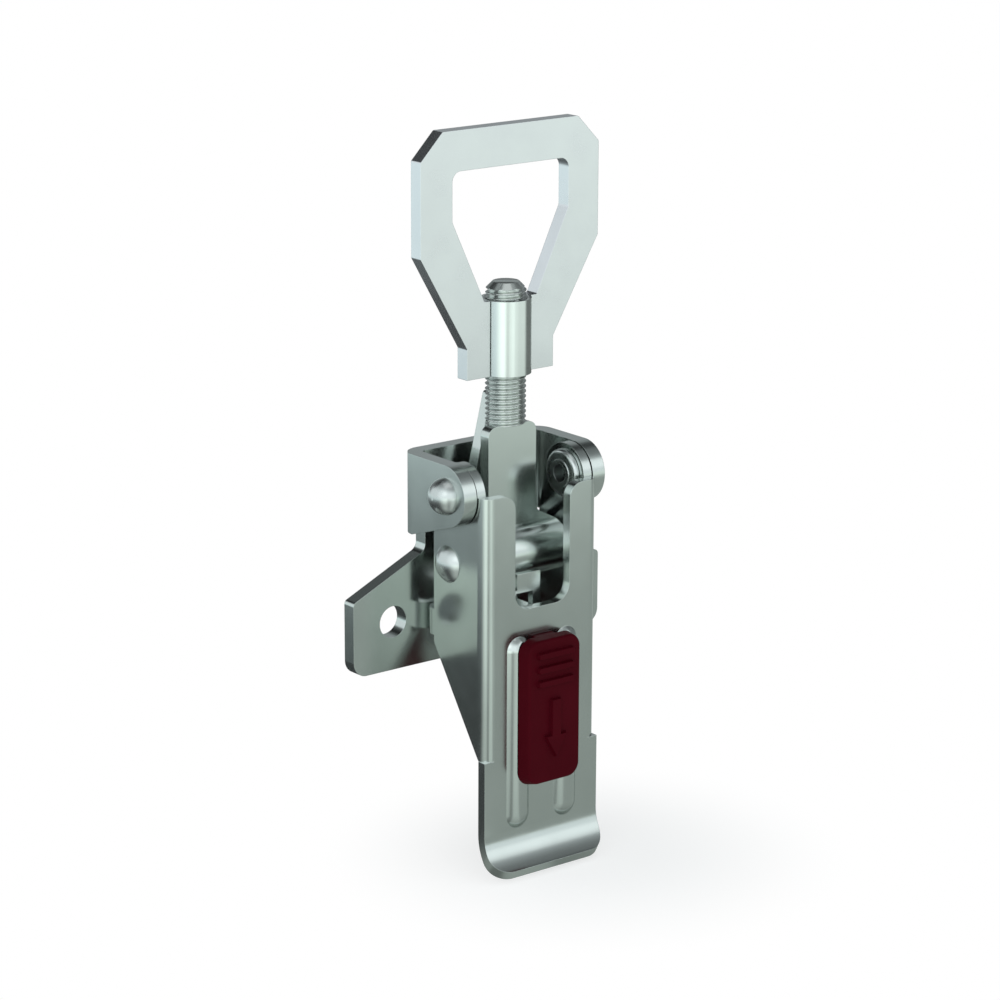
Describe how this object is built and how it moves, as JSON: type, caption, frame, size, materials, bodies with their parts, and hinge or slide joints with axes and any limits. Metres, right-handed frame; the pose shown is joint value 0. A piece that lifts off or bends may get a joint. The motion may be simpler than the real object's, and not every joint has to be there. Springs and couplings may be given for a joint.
{
  "type": "over centre toggle latch",
  "caption": "Over centre toggle latch: folded base with ears, slotted channel lever with sliding lock button, eye strap with threaded stud, and flat pull loop on a sleeve.",
  "frame": {"origin": "on the base bracket's back face, midway between the centres of its two mounting holes", "axes": "+Z is the direction of pull and the latch's long axis, +Y points back into the mounting wall, X runs across the latch"},
  "size_m": [0.0616, 0.0278, 0.1463],
  "materials": {
    "steel_sheet": "satin tumbled",
    "steel_turned": "bright turned",
    "spring_wire": "drawn wire",
    "red_plastic": "satin moulded, dark red"
  },
  "bodies": {
    "base": {"base_bracket": "steel_sheet", "catch_plate": "steel_sheet", "pivot_rivet_right": "steel_turned", "pivot_rivet_left": "steel_turned", "pivot_washer_right": "steel_turned", "pivot_washer_left": "steel_turned"},
    "lever_body": {"lever": "steel_sheet", "draw_pin": "steel_turned", "lock_spring": "spring_wire"},
    "slide_lock": {"slider_button": "red_plastic", "slider_carrier": "red_plastic", "lock_plate": "steel_sheet", "slider_screw_upper": "steel_turned", "slider_screw_lower": "steel_turned"},
    "draw_bolt": {"eye_strap": "steel_sheet", "threaded_stud": "steel_turned"},
    "pull": {"threaded_sleeve": "steel_turned", "pull_plate": "steel_sheet"}
  },
  "joints": [
    {"name": "lever_pivot", "type": "hinge", "parent": "base", "child": "lever_body", "pos_m": [0, -0.0146, 0.02725], "axis": [-1, 0, 0], "range_deg": [0, 90]},
    {"name": "bolt_pivot", "type": "hinge", "parent": "lever_body", "child": "draw_bolt", "pos_m": [0, -0.0112, 0.0124], "axis": [1, 0, 0], "range_deg": [0, 90]},
    {"name": "button_slide", "type": "slide", "parent": "lever_body", "child": "slide_lock", "axis": [0, 0, -1], "range_m": [0, 0.008], "stiffness_N_per_m": 300, "deforming": ["lock_spring"]},
    {"name": "pull_turn", "type": "hinge", "parent": "draw_bolt", "child": "pull", "pos_m": [0, -0.0112, 0.06], "axis": [0, 0, 1], "continuous": true}
  ],
  "couplings": [
    {"joint": "bolt_pivot", "follows": "lever_pivot", "ratio": 1}
  ]
}
